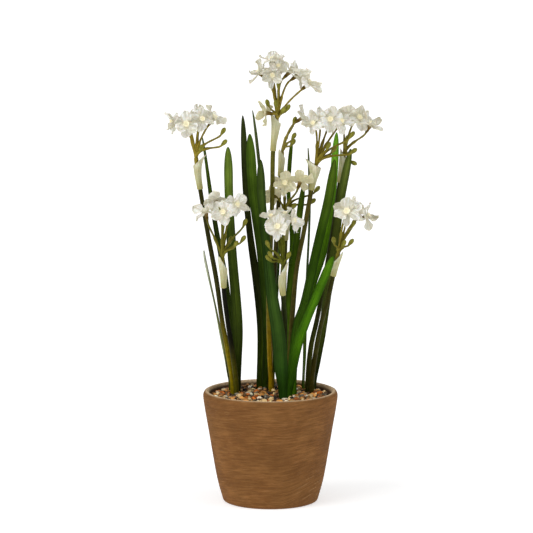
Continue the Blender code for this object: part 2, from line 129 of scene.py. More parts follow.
# Leaves: foot (x, y), width low and high up, facing at the foot and the tip in degrees (0 is the
# viewer's side, 90 the right), points on the middle line up to the tip, then the greens that
# show at the foot, half way up and at the tip.
LEAVES = {
    "thin_left": ((-46, 28), (3.6, 3), (-80, -70), [
        (-49, 25, 153), (-56, 21, 192), (-66, 16, 241), (-74, 10, 281)],
        ((104, 110, 32), (176, 186, 122), (232, 236, 210))),
    "round_left": ((-38, 21), (12, 10), (0, 10), [
        (-38, 17, 154), (-37, 14, 190), (-39, 12, 230), (-43, 10, 281), (-46, 8, 338), (-47, 6, 397)],
        ((46, 58, 8), (56, 72, 14), (112, 138, 50))),
    "narrow_left": ((-37, 29), (9, 6), (0, 60), [
        (-39, 27, 152), (-46, 26, 200), (-53, 24, 257), (-61, 22, 302), (-68, 20, 347), (-76, 18, 408)],
        ((42, 52, 8), (52, 68, 14), (88, 116, 30))),
    "tall_dark": ((-12, 46), (9.5, 7), (0, 20), [
        (-10, 46, 162), (-11, 46, 197), (-16, 44, 243), (-23, 42, 294), (-28, 40, 347), (-31, 40, 429)],
        ((66, 88, 10), (44, 50, 14), (66, 78, 34))),
    "tall_green": ((-6, 36), (8, 11), (10, 0), [
        (-4, 36, 164), (-6, 34, 210), (-10, 30, 273), (-16, 26, 319), (-20, 24, 352), (-23, 22, 410)],
        ((52, 74, 8), (56, 80, 14), (86, 116, 30))),
    "tall_thin": ((-5, 55), (7, 6), (40, 75), [
        (-6, 56, 161), (-6, 54, 218), (-7, 52, 287), (-12, 50, 355), (-16, 48, 395), (-20, 46, 434)],
        ((38, 48, 6), (52, 72, 14), (94, 108, 56))),
    "front_dark": ((14, -20), (15, 9.5), (0, -10), [
        (12, -24, 152), (9, -25, 191), (2, -20, 235), (-3, -14, 279), (-9, -8, 334), (-11, -4, 384)],
        ((36, 70, 10), (46, 72, 20), (62, 80, 28))),
    "front_bright": ((20, -12), (11, 9.5), (0, -10), [
        (23, -13, 144), (30, -17, 179), (39, -21, 205), (49, -25, 230), (58, -29, 253), (69, -33, 280)],
        ((50, 92, 4), (66, 112, 6), (72, 118, 8))),
    "long_right": ((25, 4), (10.5, 10), (10, 0), [
        (25, 4, 156), (30, 4, 198), (39, 3, 226), (51, 0, 283), (64, -2, 339), (71, -4, 384)],
        ((70, 116, 8), (52, 84, 8), (76, 102, 22))),
    "pale_right": ((24, 38), (9, 8.5), (0, 0), [
        (25, 39, 152), (33, 42, 193), (48, 43, 241), (60, 43, 278), (69, 42, 338), (74, 40, 410)],
        ((66, 108, 8), (78, 120, 14), (132, 200, 50))),
    "far_right": ((48, 31), (9, 9), (0, -10), [
        (52, 26, 154), (58, 20, 188), (65, 12, 240), (72, 8, 290), (79, 6, 343), (89, 6, 395)],
        ((54, 66, 14), (76, 88, 28), (92, 108, 42))),
    "thin_right": ((37, 33), (6, 5), (60, 85), [
        (37, 31, 152), (38, 32, 199), (40.5, 34, 256), (43, 34, 318), (42, 34, 393)],
        ((76, 104, 10), (76, 106, 18), (120, 128, 70))),
    "back_middle": ((15, 40), (7, 5), (0, 20), [
        (18, 36, 164), (21, 38, 232), (24, 38, 289), (20, 38, 340), (21, 38, 373), (24, 38, 404)],
        ((54, 80, 6), (76, 112, 10), (98, 132, 34))),
    "inner_right": ((14, 21), (8, 7), (0, 10), [
        (18, 20, 166), (22, 20, 235), (29, 17, 291), (32, 12, 320), (37, 10, 357)],
        ((50, 74, 6), (70, 100, 12), (82, 108, 22))),
    "back_low": ((2, 53), (7, 6), (20, 40), [
        (1, 54, 161), (5, 54, 218), (7, 52, 259), (10, 50, 310)],
        ((60, 78, 8), (66, 96, 18), (86, 118, 28))),
}

# Flower stems: foot (x, y), points up to the place where the flower stalks part, tints at the
# foot, above it and on the stalks, sheath as (length, side of its tip in degrees, rise of the tip,
# drop of the far side, mouth radius, lean of the tip), florets as (middle, facing, rise, size)
# with the angles in degrees, and buds as middles. A low floret stands apart from its head.
HEADS = {
    "far_left": {
        "foot": (-42, 15),
        "route": [
            (-48, 12, 168), (-54, 10, 202), (-60, 5, 248), (-69, 0, 299), (-78, -5, 354), (-82, -7, 386)],
        "tints": ((146, 130, 8), (58, 57, 16), (170, 152, 54)),
        "sheath": (35, 80, 4, 8, 3.8, 8),
        "florets": [
            ((-92, -24, 425), 0, 15, 1.05), ((-77, -4, 433), 15, 70, 0.95), ((-75, -20, 430), 15, 25, 0.95),
            ((-62, -9, 431), 80, 55, 1.05), ((-107, -17, 427), -60, -5, 0.95)],
        "buds": [(-52, -11, 416), (-51, -8, 403), (-76, -16, 398)],
    },
    "low_left": {
        "foot": (-38, 7),
        "route": [(-42, 4, 164), (-47, -4, 199), (-51, -14, 234), (-52, -22, 256), (-53, -28, 277)],
        # The near-black tint above this stem's foot is painted shade, as the stem stands in shadow.
        "tints": ((86, 84, 8), (20, 20, 6), (126, 122, 40)),
        "sheath": (35, -60, 4, 12, 4.2, 0),
        "florets": [
            ((-71, -38, 331), -55, 78, 1.05), ((-60, -29, 341), -155, 30, 0.9),
            ((-51, -45, 331), -20, 10, 1.05), ((-37, -42, 339), 40, 5, 1.0)],
        "buds": [(-28, -28, 317), (-30, -30, 299), (-38, -36, 294), (-44, -24, 297)],
    },
    "top": {
        "foot": (1, 25),
        "route": [(-1, 18, 167), (-2, 12, 225), (0, 6, 282), (2, 2, 338), (3, 0, 394), (7, 0, 427)],
        "tints": ((168, 138, 8), (102, 100, 34), (168, 150, 58)),
        "sheath": (34, -80, 9, 3, 4.5, 3.5),
        "florets": [
            ((2, 2, 494), -10, 78, 1.05), ((9, -3, 487), -5, 35, 0.75), ((2, -5, 477), 5, 15, 0.9),
            ((-13, -3, 480), -80, 40, 0.95), ((22, 2, 481), 95, 45, 1.0), ((31, 5, 477), 95, 35, 1.0),
            ((43, 3, 468), 100, 40, 1.15)],
        "buds": [(9, -4, 467), (-3, -2, 446), (6, -10, 446), (19, -4, 441), (14, -8, 439)],
        "low_floret": ((-6, -9, 436), -105, 5, 1.0),
    },
    "back": {
        "foot": (0, 41),
        "route": [(0, 40, 164), (3, 38, 221), (6, 34, 278), (9, 30, 329), (12, 28, 374), (13, 28, 389)],
        "tints": ((168, 138, 8), (72, 68, 24), (170, 156, 72)),
        "sheath": (27, -60, 3, 7, 3.4, 0),
        "florets": [((36, 24, 428), 75, 35, 0.9)],
        "buds": [(27, 30, 424), (26, 24, 407), (25, 24, 400)],
    },
    "inner_right": {
        "foot": (20, 13),
        "route": [(22, 10, 169), (25, 9, 214), (29, 7, 259), (37, 4, 302), (46, 2, 353), (50, 2, 376)],
        "tints": ((82, 78, 18), (88, 82, 30), (144, 128, 42)),
        "sheath": (27, -90, 8, 1, 5.6, 7.5),
        "florets": [
            ((47, -7, 424), -20, 40, 0.9), ((56, -2, 431), 10, 70, 0.95),
            ((66, -8, 429), 0, 15, 1.0), ((78, -4, 426), 20, 35, 0.95)],
        "buds": [(64, -2, 399), (90, 0, 411), (92, 0, 393), (70, 4, 394)],
    },
    "far_right": {
        "foot": (42, 23),
        "route": [
            (45, 22, 167), (53, 22, 205), (62.5, 21, 258), (70, 19, 303), (77, 16, 356), (82, 14, 390)],
        "tints": ((66, 70, 16), (60, 64, 22), (156, 144, 58)),
        "sheath": (34, -90, 4, 8, 4.4, 0),
        "florets": [
            ((87, 12, 431), 150, 30, 0.9), ((98, 11, 429), 30, 30, 1.0), ((111, 9, 422), 70, 60, 1.1)],
        "buds": [(85, 5, 406), (92, 8, 379)],
    },
    "middle": {
        "foot": (12, 31),
        "route": [(13, 31, 166), (15, 30, 223), (16, 27, 269), (17, 20, 303), (16, 14, 324)],
        "tints": ((80, 78, 10), (76, 76, 14), (124, 116, 32)),
        "sheath": (34, -20, 4, 8, 5.1, 0.5),
        "florets": [((16, 2, 357), 0, 20, 0.95), ((33, -3, 360), 150, 55, 1.0)],
        "buds": [(26, 6, 331), (47, 26, 334), (52, 22, 348)],
        "low_floret": ((3, 18, 341), -160, 0, 0.8),
    },
    "front": {
        "foot": (16, -1),
        "route": [(16, -6, 171), (16, -11, 206), (14, -17, 232), (13, -22, 252), (14, -25, 268)],
        "tints": ((58, 74, 8), (44, 54, 10), (100, 104, 26)),
        "sheath": (34, 65, 6, 12, 3.5, 2),
        "florets": [
            ((8, -44, 314), -10, 30, 1.05), ((25, -36, 320), 50, 25, 0.9),
            ((1, -31, 324), -30, 60, 0.85), ((16, -29, 327), 20, 75, 0.7)],
        "buds": [(-3, -34, 294), (0, -32, 282), (-2, -26, 277), (20, -30, 281)],
    },
    "low_right": {
        "foot": (46, 14),
        "route": [(51, 8, 169), (57, 3, 201), (64, -2, 228), (69, -7, 252), (75, -10, 280)],
        "tints": ((74, 68, 16), (62, 62, 16), (138, 128, 46)),
        "sheath": (26, 75, 3, 12, 4.4, 0),
        "florets": [
            ((84, -27, 329), -5, 25, 1.15), ((94, -17, 332), 90, 40, 1.0), ((107, -13, 322), 75, 20, 1.05)],
        "buds": [(92, -10, 314), (89, -12, 293), (81, -16, 292), (70, -14, 295)],
    },
}

# Pebble colours, each with its share of the stones
PEBBLES = [
    ((222, 156, 78), 0.26), ((206, 112, 32), 0.18), ((240, 206, 146), 0.18), ((252, 240, 212), 0.1),
    ((180, 120, 66), 0.08), ((112, 100, 80), 0.02), ((12, 10, 8), 0.11), ((64, 38, 18), 0.07)]


# Vectors and curves

def unit(vector):
    """The vector's direction, with a length of one."""
    vector = np.asarray(vector, float)
    return vector / np.linalg.norm(vector)


def compass(side, rise=0.0):
    """Direction in degrees: side 0 is towards the viewer and 90 to the right, rise is above level."""
    side, rise = math.radians(side), math.radians(rise)
    return np.array([math.sin(side) * math.cos(rise), -math.cos(side) * math.cos(rise), math.sin(rise)])


def smooth(value, low, high):
    """Rises smoothly from 0 at low to 1 at high."""
    share = np.clip((np.asarray(value, float) - low) / (high - low), 0.0, 1.0)
    return share * share * (3 - 2 * share)


def bent(start, start_pull, end_pull, end, count):
    """Points of a cubic curve pulled by the two points between its ends."""
    t = np.linspace(0, 1, count)[:, None]
    pulled = 3 * (1 - t) ** 2 * t * start_pull + 3 * (1 - t) * t**2 * end_pull
    return (1 - t) ** 3 * start + pulled + t**3 * end


def curve_through(points, first_direction, per_span=12):
    """Smooth dense line through the points, leaving the first in the given direction."""
    points = np.asarray(points, float)
    slopes = np.empty_like(points)
    slopes[1:-1] = (points[2:] - points[:-2]) / 2
    slopes[0] = unit(first_direction) * np.linalg.norm(points[1] - points[0])
    slopes[-1] = points[-1] - points[-2]
    starts, ends = points + slopes / 3, points - slopes / 3
    spans = [bent(points[i], starts[i], ends[i + 1], points[i + 1], per_span + 1)[:-1]
             for i in range(len(points) - 1)]
    return np.concatenate([*spans, points[-1:]])


def along(line, lengths):
    """Points of the line at these distances from its start."""
    steps = np.linalg.norm(np.diff(line, axis=0), axis=1)
    travelled = np.concatenate([[0.0], np.cumsum(steps)])
    return np.stack([np.interp(lengths, travelled, line[:, axis]) for axis in range(3)], axis=1)


def length_of(line):
    return np.linalg.norm(np.diff(line, axis=0), axis=1).sum()


def directions(line):
    """Direction of travel at each point of the line."""
    ahead = np.gradient(np.asarray(line, float), axis=0)
    return ahead / np.linalg.norm(ahead, axis=1, keepdims=True)


def grown_line(foot, route):
    """The line of a leaf or stem above the gravel, which it leaves upright."""
    return curve_through([(*foot, STRAIGHT_TOP), *route], (0, 0, 1))


# Closed shapes: each is (points, faces, values), the values being numbers that its finish reads

def grid_faces(rows, columns, wrap, first=0):
    """Quads of a grid of points, joined round from its last column to its first if it wraps."""
    row, column = np.indices((rows - 1, columns if wrap else columns - 1))
    here, beside = row * columns + column, row * columns + (column + 1) % columns
    quads = np.stack([here, beside, beside + columns, here + columns], axis=-1).reshape(-1, 4) + first
    return [tuple(quad) for quad in quads.tolist()]


def outward(points, faces):
    """The faces, turned so that they enclose a positive volume."""
    volume = 0.0
    for face in faces:
        a, b, c = points[face[0]], points[face[1]], points[face[2]]
        volume += np.dot(a, np.cross(b, c))
        if len(face) == 4:
            volume += np.dot(a, np.cross(c, points[face[3]]))
    return faces if volume > 0 else [face[::-1] for face in faces]


def rings_shape(rings, values, joined=False):
    """Closed skin over rings of points, joined from its last ring to its first or capped at both."""
    rings = np.asarray(rings, float)
    rows, columns = rings.shape[:2]
    points = rings.reshape(-1, 3)
    faces = grid_faces(rows + 1 if joined else rows, columns, True)
    if joined:
        faces = [tuple(corner % len(points) for corner in face) for face in faces]
    else:
        faces.append(tuple(range(columns - 1, -1, -1)))
        faces.append(tuple(range((rows - 1) * columns, rows * columns)))
    return points, outward(points, faces), {key: np.repeat(value, columns) for key, value in values.items()}


def sleeve_shape(rings, number, values, joined=False):
    """Closed skin over rings, with its place across and its number added to its values."""
    shape = rings_shape(rings, {"item": np.full(len(rings), float(number)), **values}, joined)
    shape[2]["across"] = np.tile(np.abs(np.linspace(-1, 1, len(rings[0]))), len(rings))
    return shape


def blade_shape(front, back, values):
    """Closed skin of a thin blade from two grids of points, rows along it and columns across."""
    rows, columns = front.shape[:2]
    count = rows * columns
    points = np.concatenate([front.reshape(-1, 3), back.reshape(-1, 3)])
    faces = grid_faces(rows, columns, False)
    faces += [face[::-1] for face in grid_faces(rows, columns, False, count)]
    border = list(range(columns)) + [row * columns + columns - 1 for row in range(1, rows)]
    border += list(range(count - 2, count - columns - 1, -1))
    border += [row * columns for row in range(rows - 2, 0, -1)]
    for here, after in zip(border, border[1:] + border[:1]):
        faces.append((after, here, here + count, after + count))
    doubled = {key: np.concatenate([value.reshape(-1), value.reshape(-1)]) for key, value in values.items()}
    doubled["back"] = np.concatenate([np.zeros(count), np.ones(count)])
    return points, outward(points, faces), doubled


def tube_rings(line, radii, sides):
    """Rings square to the line, turned as little as possible from one to the next."""
    ahead = directions(line)
    across = np.array([1.0, 0.0, 0.0]) if abs(ahead[0][0]) < 0.9 else np.array([0.0, 1.0, 0.0])
    angles = np.arange(sides) * math.tau / sides
    rings = []
    for point, direction, radius in zip(line, ahead, radii):
        across = unit(across - direction * np.dot(across, direction))
        other = np.cross(direction, across)
        ring = np.outer(np.cos(angles), across) + np.outer(np.sin(angles), other)
        rings.append(point + radius * ring)
    return np.array(rings)


def place_object(name, data):
    """A new object in the scene for a mesh, a lamp or a lens."""
    item = bpy.data.objects.new(name, data)
    bpy.context.scene.collection.objects.link(item)
    return item


def add_piece(name, shapes, finish, node, sharp=40):
    """One object from closed shapes, fixed to the plant and standing for its CAD node."""
    points, faces, first = [], [], 0
    keys = sorted({key for shape in shapes for key in shape[2]})
    values = {key: [] for key in keys}
    for shape_points, shape_faces, shape_values in shapes:
        points.append(shape_points)
        faces += [tuple(corner + first for corner in face) for face in shape_faces]
        first += len(shape_points)
        for key in keys:
            values[key].append(np.asarray(shape_values.get(key, np.zeros(len(shape_points)))))
    mesh = bpy.data.meshes.new(name)
    mesh.from_pydata((np.concatenate(points) * MM).tolist(), [], faces)
    for key in keys:
        whole = np.concatenate(values[key])
        kind, field = ("FLOAT_COLOR", "color") if whole.ndim == 2 else ("FLOAT", "value")
        mesh.attributes.new(key, kind, "POINT").data.foreach_set(field, whole.astype(np.float32).reshape(-1))
    mesh.polygons.foreach_set("use_smooth", [True] * len(mesh.polygons))
    mesh.set_sharp_from_angle(angle=math.radians(sharp))
    mesh.materials.append(finish)
    piece = place_object(name, mesh)
    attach(piece, "root")
    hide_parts(node)


# Finishes

def paint(red, green, blue):
    """A colour as it shows on screen, from 0 to 255, in the renderer's own linear terms."""
    parts = [part / 255 for part in (red, green, blue)]
    linear = [part / 12.92 if part <= 0.04045 else ((part + 0.055) / 1.055) ** 2.4 for part in parts]
    return (*linear, 1.0)


def add_node(tree, kind, inputs=None, **settings):
    """A shader node with its settings made, and its sockets linked to others or set to plain values."""
    node = tree.nodes.new("ShaderNode" + kind)
    for key, value in settings.items():
        setattr(node, key, value)
    for key, value in (inputs or {}).items():
        socket = node.inputs[key]
        if isinstance(value, bpy.types.NodeSocket):
            tree.links.new(value, socket)
        else:
            socket.default_value = value
    return node


def value_of(tree, name):
    """The number that a piece's mesh carries under this name."""
    return add_node(tree, "Attribute", attribute_name=name).outputs["Fac"]


def calc(tree, operation, first, second=0.0):
    """One plain operation on one or two numbers."""
    return add_node(tree, "Math", {0: first, 1: second}, operation=operation).outputs[0]


def spread(tree, value, low, high, low_out=0.0, high_out=1.0):
    """The value, moved smoothly from one range to another and held inside it."""
    inputs = {"Value": value, "From Min": low, "From Max": high, "To Min": low_out, "To Max": high_out}
    return add_node(tree, "MapRange", inputs, interpolation_type="SMOOTHSTEP").outputs["Result"]


def blend(tree, share, first, second, how="MIX"):
    """The first colour, turned into the second by the share."""
    inputs = {"Factor": share, 6: first, 7: second}
    return add_node(tree, "Mix", inputs, data_type="RGBA", blend_type=how).outputs[2]


def toned(tree, colour, *factors):
    """The colour with its red, green and blue multiplied by the factors."""
    return blend(tree, 1.0, colour, (*factors, 1), "MULTIPLY")


def layered(tree, colour, *layers):
    """The colour under layers of (tint, mask, where the mask starts, where it is full, strength)."""
    for tint, mask, start, full, strength in layers:
        colour = blend(tree, spread(tree, mask, start, full, 0.0, strength), colour, tint)
    return colour


def new_group(name, inputs, outputs):
    """A shared effect with named inputs and outputs, and the nodes that stand for its two ends."""
    group = bpy.data.node_groups.new(name, "ShaderNodeTree")
    for label, kind, start in inputs:
        socket = group.interface.new_socket(label, in_out="INPUT", socket_type="NodeSocket" + kind)
        socket.default_value = start
    for label, kind in outputs:
        group.interface.new_socket(label, in_out="OUTPUT", socket_type="NodeSocket" + kind)
    return group, group.nodes.new("NodeGroupInput").outputs, group.nodes.new("NodeGroupOutput").inputs


def make_growth_lines():
    """Fine lines that run from foot to tip of a blade, as veins and fibres do."""
    group, given, out = new_group(
        "growth_lines",
        [("Lines", "Float", 20.0), ("Length", "Float", 3.0), ("Softness", "Float", 0.2)],
        [("Mask", "Float")])
    place = add_node(group, "CombineXYZ", {
        "X": calc(group, "MULTIPLY", value_of(group, "across"), given["Lines"]),
        "Y": calc(group, "MULTIPLY", value_of(group, "along"), given["Length"]),
        "Z": calc(group, "MULTIPLY", value_of(group, "item"), 7.3)})
    noise = add_node(group, "TexNoise", {
        "Vector": place.outputs[0], "Scale": 1.0, "Detail": 3.0, "Roughness": 0.6})
    low = calc(group, "SUBTRACT", 0.5, given["Softness"])
    high = calc(group, "ADD", 0.5, given["Softness"])
    group.links.new(spread(group, noise.outputs["Fac"], low, high), out["Mask"])
    return group


def make_mottle():
    """Cloudy change from one colour to another, at a scale given in patches a metre."""
    group, given, out = new_group(
        "mottle",
        [("Colour", "Color", (1, 1, 1, 1)), ("Patch colour", "Color", (0, 0, 0, 1)),
         ("Scale", "Float", 60.0), ("Amount", "Float", 0.5)],
        [("Colour", "Color"), ("Mask", "Float")])
    place = add_node(group, "TexCoord").outputs["Object"]
    noise = add_node(group, "TexNoise", {
        "Vector": place, "Scale": given["Scale"], "Detail": 4.0, "Roughness": 0.55})
    mask = spread(group, noise.outputs["Fac"], 0.35, 0.65)
    share = calc(group, "MULTIPLY", mask, given["Amount"])
    group.links.new(blend(group, share, given["Colour"], given["Patch colour"]), out["Colour"])
    group.links.new(mask, out["Mask"])
    return group


GROWTH_LINES = make_growth_lines()
MOTTLE = make_mottle()


def fine_lines(tree, lines, length, softness):
    """Mask of growth lines: how many there are across, how often they change along, and how soft."""
    inputs = {"Lines": lines, "Length": length, "Softness": softness}
    return add_node(tree, "Group", inputs, node_tree=GROWTH_LINES).outputs["Mask"]


def clouded(tree, colour, patch, scale, amount):
    """The mottle's outputs over a colour: Colour, with the patches in it, and their Mask."""
    inputs = {"Colour": colour, "Patch colour": patch, "Scale": scale, "Amount": amount}
    return add_node(tree, "Group", inputs, node_tree=MOTTLE).outputs


def start_finish(name, **constants):
    """A new material with its shader's plain values set, and its node tree and shader."""
    material = bpy.data.materials.new(name)
    material.use_nodes = True
    shader = material.node_tree.nodes["Principled BSDF"]
    for key, value in constants.items():
        shader.inputs[key.replace("_", " ")].default_value = value
    return material, material.node_tree, shader


def feed(tree, shader, colour, roughness, height, depth):
    """Colour, roughness if it varies, and bump into the shader, the bump's depth in metres."""
    tree.links.new(colour, shader.inputs["Base Color"])
    if roughness is not None:
        tree.links.new(roughness, shader.inputs["Roughness"])
    bump = add_node(tree, "Bump", {"Height": height, "Strength": 1.0, "Distance": depth})
    tree.links.new(bump.outputs["Normal"], shader.inputs["Normal"])


def leaf_finish(name, greens):
    """Waxy green blade, ribbed lengthwise, with its own tip, painted shade on its flanks and a painted
    highlight down its middle.
    """
    foot, middle, tip = (paint(*green) for green in greens)
    material, tree, shader = start_finish(name, Roughness=0.42, Specular_IOR_Level=0.06)
    rise, aside = value_of(tree, "along"), calc(tree, "ABSOLUTE", value_of(tree, "across"))
    body = layered(tree, foot, (middle, rise, 0.02, 0.35, 1.0), (tip, rise, 0.6, 0.98, 1.0))
    ribs, fibres = fine_lines(tree, 5.5, 1.6, 0.13), fine_lines(tree, 17.0, 4.0, 0.22)
    dark, light = toned(tree, body, 0.42, 0.46, 0.4), toned(tree, body, 1.9, 1.75, 1.8)
    body = layered(tree, body, (dark, ribs, 0.0, 1.0, 0.85), (light, fibres, 0.0, 1.0, 0.55))
    # Painted highlight: the blade is lightened towards its midrib, where a channel's middle catches the
    # light.
    body = blend(tree, spread(tree, aside, 0.05, 0.4, 0.3, 0.0), body, light)
    body = clouded(tree, body, dark, 38.0, 0.45)["Colour"]
    # Painted shade: the flanks darken towards both edges, where the channel's sides turn from the light.
    body = layered(tree, body, (dark, aside, 0.4, 1.0, 0.75))
    height = calc(tree, "ADD", ribs, calc(tree, "MULTIPLY", fibres, 0.5))
    feed(tree, shader, body, spread(tree, fibres, 0.0, 1.0, 0.36, 0.5), height, 0.0004)
    return material


def stem_finish(name, tints):
    """Olive stem with ochre stalks, browner where they swell, and green buds."""
    foot, body, stalks = (paint(*tint) for tint in tints)
    material, tree, shader = start_finish(name, Roughness=0.5, Specular_IOR_Level=0.06)
    rise, on_stalk, knob, on_bud = (value_of(tree, key) for key in ("along", "stalk", "knob", "bud"))
    fibres = fine_lines(tree, 5.0, 7.0, 0.2)
    colour = blend(tree, on_stalk, layered(tree, foot, (body, rise, 0.12, 0.4, 1.0)), stalks)
    colour = layered(tree, colour, (paint(96, 74, 24), knob, 0.35, 1.0, 1.0))
    colour = blend(tree, on_bud, colour, paint(152, 150, 60))
    dark = toned(tree, colour, 0.34, 0.32, 0.3)
    colour = clouded(tree, colour, dark, 260.0, 0.5)["Colour"]
    colour = layered(tree, colour, (dark, fibres, 0.0, 1.0, 0.6))
    feed(tree, shader, colour, spread(tree, fibres, 0.0, 1.0, 0.42, 0.6), fibres, 0.0003)
    return material


def sheath_finish():
    """Dry papery sleeve, cream with fine lengthwise fibres and a greener foot."""
    material, tree, shader = start_finish(
        "sheath_papery_cream", Roughness=0.62, Specular_IOR_Level=0.2, Subsurface_Weight=0.1,
        Subsurface_Scale=0.001)
    rise, fibres = value_of(tree, "along"), fine_lines(tree, 9.0, 1.5, 0.16)
    colour = layered(
        tree, paint(164, 160, 100), (paint(204, 202, 164), rise, 0.0, 0.55, 1.0),
        (paint(224, 224, 202), rise, 0.6, 1.0, 1.0), (paint(152, 150, 96), fibres, 0.0, 1.0, 0.45))
    colour = clouded(tree, colour, paint(170, 160, 100), 150.0, 0.4)["Colour"]
    feed(tree, shader, colour, None, fibres, 0.0003)
    return material


def floret_finish(name, cream):
    """Silky white tepals, faintly veined, cream at the throat and beige behind, with painted shade.

    The beige of the backs is partly the silk's own cream and partly painted shade. Painted shade
    also lies in soft lengthwise folds, in cloudy darker beige patches and over each whole tepal by
    a random share of its own. The share of cream is a beige tint of painted shade laid over the
    whole floret. A weak glow of the silk's own colour stands in for light that comes through the
    thin petals.
    """
    material, tree, shader = start_finish(
        name, Roughness=0.6, Specular_IOR_Level=0.2, Subsurface_Weight=0.06, Subsurface_Scale=0.001,
        Emission_Strength=0.24)
    rise, behind, tone, calyx, cup, anther = (
        value_of(tree, key) for key in ("along", "back", "tone", "calyx", "cup", "anther"))
    veins, fold_shade = fine_lines(tree, 8.0, 1.6, 0.14), fine_lines(tree, 2.6, 1.1, 0.3)
    # Painted shade: beige on the backs (partly the silk's own cream), grey-beige over whole tepals by their
    # random share, and darker beige along broad soft fold lines.
    colour = layered(
        tree, paint(226, 220, 188), (paint(252, 252, 250), rise, 0.08, 0.42, 1.0),
        (paint(216, 210, 180), behind, 0.0, 1.0, 0.7), (paint(184, 180, 154), tone, 0.4, 1.0, 0.9),
        (paint(204, 204, 194), veins, 0.0, 1.0, 0.3), (paint(178, 172, 140), fold_shade, 0.3, 0.8, 0.6))
    # Painted shade: cloudy darker beige patches.
    colour = clouded(tree, colour, paint(208, 202, 172), 110.0, 0.5)["Colour"]
    colour = clouded(tree, colour, paint(222, 224, 224), 420.0, 0.2)["Colour"]
    # Painted shade: the cream share tints the whole floret beige.
    colour = blend(tree, cream, colour, paint(196, 188, 134))
    colour = blend(tree, calc(tree, "MULTIPLY", cup, 0.8), colour, paint(236, 230, 202))
    colour = blend(tree, calyx, colour, paint(96, 76, 26))
    colour = blend(tree, calc(tree, "MULTIPLY", anther, 0.6), colour, paint(232, 222, 176))
    feed(tree, shader, colour, None, veins, 0.0007)
    tree.links.new(colour, shader.inputs["Emission Color"])
    return material


def pebble_finish():
    """Polished river pebbles, each with its own colour, clouded and lightly seamed."""
    material, tree, shader = start_finish("pebbles_polished", Roughness=0.2, Specular_IOR_Level=0.16)
    stone = add_node(tree, "Attribute", attribute_name="stone").outputs["Color"]
    clouds = clouded(tree, stone, toned(tree, stone, 0.4, 0.3, 0.22), 330.0, 0.45)
    place = add_node(tree, "TexCoord").outputs["Object"]
    seams = add_node(tree, "TexNoise", {"Vector": place, "Scale": 240.0, "Detail": 2.0, "Distortion": 1.4})
    from_seam = calc(tree, "ABSOLUTE", calc(tree, "SUBTRACT", seams.outputs["Fac"], 0.5))
    seam = spread(tree, from_seam, 0.0, 0.02, 0.25, 0.0)
    colour = blend(tree, seam, clouds["Colour"], paint(232, 214, 184))
    feed(tree, shader, colour, spread(tree, clouds["Mask"], 0.0, 1.0, 0.24, 0.46), clouds["Mask"], 0.0001)
    return material


def brush_streaks(tree, round_scale, rise_scale, detail):
    """Noise stretched round the pot, following the brush."""
    place = add_node(tree, "SeparateXYZ", {"Vector": add_node(tree, "TexCoord").outputs["Object"]}).outputs
    where = add_node(tree, "CombineXYZ", {
        "X": calc(tree, "MULTIPLY", place["X"], round_scale),
        "Y": calc(tree, "MULTIPLY", place["Y"], round_scale),
        "Z": calc(tree, "MULTIPLY", value_of(tree, "stroke"), rise_scale)})
    inputs = {"Vector": where.outputs[0], "Scale": 1.0, "Detail": detail, "Roughness": 0.65}
    return add_node(tree, "TexNoise", inputs).outputs["Fac"]


def pot_finish():
    """Clay washed in brown with a wide brush: long streaks, fine ridges, a worn pale lip."""
    material, tree, shader = start_finish("pot_brushed_clay", Roughness=0.85, Specular_IOR_Level=0.12)
    broad = brush_streaks(tree, 24, 0.04, 4.0)
    fine = brush_streaks(tree, 44, 0.6, 4.0)
    hair = brush_streaks(tree, 80, 1.3, 3.0)
    colour = layered(
        tree, paint(122, 80, 40), (paint(142, 98, 54), broad, 0.36, 0.62, 1.0),
        (paint(100, 65, 31), fine, 0.44, 0.62, 0.55), (paint(158, 113, 68), fine, 0.42, 0.3, 0.5),
        (paint(106, 70, 34), hair, 0.52, 0.7, 0.5), (paint(164, 120, 76), hair, 0.44, 0.3, 0.4))
    colour = clouded(tree, colour, paint(100, 66, 32), 26.0, 0.4)["Colour"]
    colour = layered(tree, colour, (paint(184, 148, 102), value_of(tree, "ridge"), 0.0, 1.0, 0.6))
    colour = blend(tree, value_of(tree, "inside"), colour, paint(96, 74, 52))
    specks = add_node(tree, "TexNoise", {"Scale": 90.0, "Detail": 4.0}).outputs["Fac"]
    worn = calc(tree, "MULTIPLY", value_of(tree, "lip"), spread(tree, specks, 0.3, 0.6, 0.6, 1.0))
    colour = blend(tree, worn, colour, paint(206, 180, 144))
    height = calc(tree, "ADD", calc(tree, "MULTIPLY", fine, 1.6), hair)
    feed(tree, shader, colour, spread(tree, broad, 0.3, 0.7, 0.76, 0.9), height, 0.0008)
    return material


# Pieces

def lathe_profile(points, count):
    """Points evenly spaced along a smooth curve through a profile's points."""
    points = np.array([(radius, 0.0, height) for radius, height in points])
    line = curve_through(points, points[1] - points[0], 16)
    return along(line, np.linspace(0, length_of(line), count))


def brush_height(angle, stroke):
    """Relief left by the brush round the pot, between about -1 and 1."""
    wander = 1.6 * np.sin(2 * angle + 0.6) + 0.9 * np.sin(5 * angle + 2.0)
    ripple = np.sin(stroke * 1.9 + wander) + 0.6 * np.sin(stroke * 3.3 - 1.7 * wander + 1.0)
    return 0.5 * ripple * (0.6 + 0.4 * np.sin(stroke * 0.31 + 3 * angle))


def brush_lean(angle, heights):
    """Climb of a brush stroke as it goes round: it dips to the left and climbs to the right."""
    left = BRUSH_DIP * (np.cos(angle) - 1) * smooth(-np.sin(angle), -0.2, 0.7)
    climb = BRUSH_CLIMB[0] + (BRUSH_CLIMB[1] - BRUSH_CLIMB[0]) * smooth(heights, 10, 90)
    return left + climb * smooth(np.sin(angle), 0.15, 1.0) * smooth(np.cos(angle), -1.0, 0.0)


